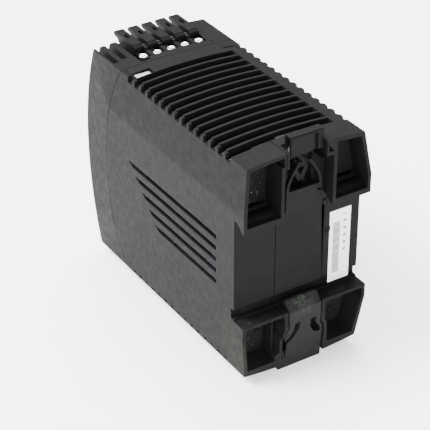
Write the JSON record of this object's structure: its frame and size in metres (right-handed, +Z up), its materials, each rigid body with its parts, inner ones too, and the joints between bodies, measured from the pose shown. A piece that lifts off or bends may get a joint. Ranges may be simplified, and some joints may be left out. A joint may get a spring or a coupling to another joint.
{
  "type": "din rail power supply",
  "caption": "Compact black DIN-rail power supply with a curved front, crowned cooling grilles, lever terminals and a sprung rail latch.",
  "frame": {"origin": "middle of the outline on the plane that the input levers and the latch foot stand on", "axes": "+Z up along the height, +Y towards the rail, -Y towards the curved front, +X towards the louvred side"},
  "size_m": [0.045, 0.096, 0.0804],
  "materials": {
    "housing_black": "fine-textured moulded flame-retardant plastic, near black",
    "lever_black": "smoother moulded plastic, near black",
    "terminal_black": "matt black moulding compound",
    "tinned_metal": "bright tinned metal",
    "steel": "plain drawn steel",
    "label_white": "white satin label film",
    "tile_grey": "light grey marker plastic",
    "board_green": "green solder mask",
    "ferrite": "dark grey ferrite",
    "winding_yellow": "yellow winding tape",
    "capacitor_sleeve": "dark shrink sleeve",
    "film_yellow": "yellow moulded box",
    "aluminium": "plain rolled aluminium",
    "copper": "enamelled copper wire",
    "ceramic": "off-white ceramic tube",
    "lamp_green": "clear green light guide",
    "adjuster_blue": "blue trimmer body",
    "adjuster_white": "off-white rotor"
  },
  "bodies": {
    "chassis": {"front_cover": "housing_black", "housing_body": "housing_black", "side_cover": "housing_black", "release_spring": "lever_black", "output_terminal_block": "terminal_black", "input_terminal_block": "terminal_black", "output_lever_pin": "steel", "input_lever_pin": "steel", "status_lamp": "lamp_green", "adjuster_body": "adjuster_blue", "front_board": "board_green", "rating_label": "label_white", "marking_tile": "tile_grey", "main_board": "board_green", "transformer_core": "ferrite", "transformer_winding": "winding_yellow", "bulk_capacitor": "capacitor_sleeve", "output_capacitor_1": "capacitor_sleeve", "output_capacitor_2": "capacitor_sleeve", "fuse": "ceramic", "interference_capacitor": "film_yellow", "line_choke": "copper", "primary_heatsink": "aluminium", "output_heatsink": "aluminium", "switching_transistor": "terminal_black", "output_rectifier": "terminal_black", "output_clamp_1": "tinned_metal", "output_clamp_2": "tinned_metal", "output_clamp_3": "tinned_metal", "output_clamp_4": "tinned_metal", "output_clamp_5": "tinned_metal", "input_clamp_1": "tinned_metal", "input_clamp_2": "tinned_metal", "input_clamp_3": "tinned_metal"},
    "output_lever_1": {"output_lever_1": "lever_black"},
    "output_lever_2": {"output_lever_2": "lever_black"},
    "output_lever_3": {"output_lever_3": "lever_black"},
    "output_lever_4": {"output_lever_4": "lever_black"},
    "output_lever_5": {"output_lever_5": "lever_black"},
    "input_lever_1": {"input_lever_1": "lever_black"},
    "input_lever_2": {"input_lever_2": "lever_black"},
    "input_lever_3": {"input_lever_3": "lever_black"},
    "adjuster": {"voltage_adjuster": "adjuster_white"},
    "rail_release": {"release_button": "lever_black", "release_link": "lever_black", "rail_latch": "lever_black"}
  },
  "joints": [
    {"name": "output_lever_1_hinge", "type": "hinge", "parent": "chassis", "child": "output_lever_1", "pos_m": [0.01116, -0.0308, 0.0773], "axis": [-1, 0, 0], "range_deg": [0, 80]},
    {"name": "output_lever_2_hinge", "type": "hinge", "parent": "chassis", "child": "output_lever_2", "pos_m": [0.00608, -0.0308, 0.0773], "axis": [-1, 0, 0], "range_deg": [0, 80]},
    {"name": "output_lever_3_hinge", "type": "hinge", "parent": "chassis", "child": "output_lever_3", "pos_m": [0.001, -0.0308, 0.0773], "axis": [-1, 0, 0], "range_deg": [0, 80]},
    {"name": "output_lever_4_hinge", "type": "hinge", "parent": "chassis", "child": "output_lever_4", "pos_m": [-0.00408, -0.0308, 0.0773], "axis": [-1, 0, 0], "range_deg": [0, 80]},
    {"name": "output_lever_5_hinge", "type": "hinge", "parent": "chassis", "child": "output_lever_5", "pos_m": [-0.00916, -0.0308, 0.0773], "axis": [-1, 0, 0], "range_deg": [0, 80]},
    {"name": "input_lever_1_hinge", "type": "hinge", "parent": "chassis", "child": "input_lever_1", "pos_m": [0.00862, -0.0308, 0.0015], "axis": [1, 0, 0], "range_deg": [0, 80]},
    {"name": "input_lever_2_hinge", "type": "hinge", "parent": "chassis", "child": "input_lever_2", "pos_m": [0.001, -0.0308, 0.0015], "axis": [1, 0, 0], "range_deg": [0, 80]},
    {"name": "input_lever_3_hinge", "type": "hinge", "parent": "chassis", "child": "input_lever_3", "pos_m": [-0.00662, -0.0308, 0.0015], "axis": [1, 0, 0], "range_deg": [0, 80]},
    {"name": "adjuster_turn", "type": "hinge", "parent": "chassis", "child": "adjuster", "pos_m": [-0.015, -0.042, 0.0569], "axis": [0, 1, 0], "range_deg": [0, 270]},
    {"name": "rail_release_slide", "type": "slide", "parent": "chassis", "child": "rail_release", "axis": [0, 0, -1], "range_m": [0, 0.0026], "stiffness_N_per_m": 3000}
  ]
}
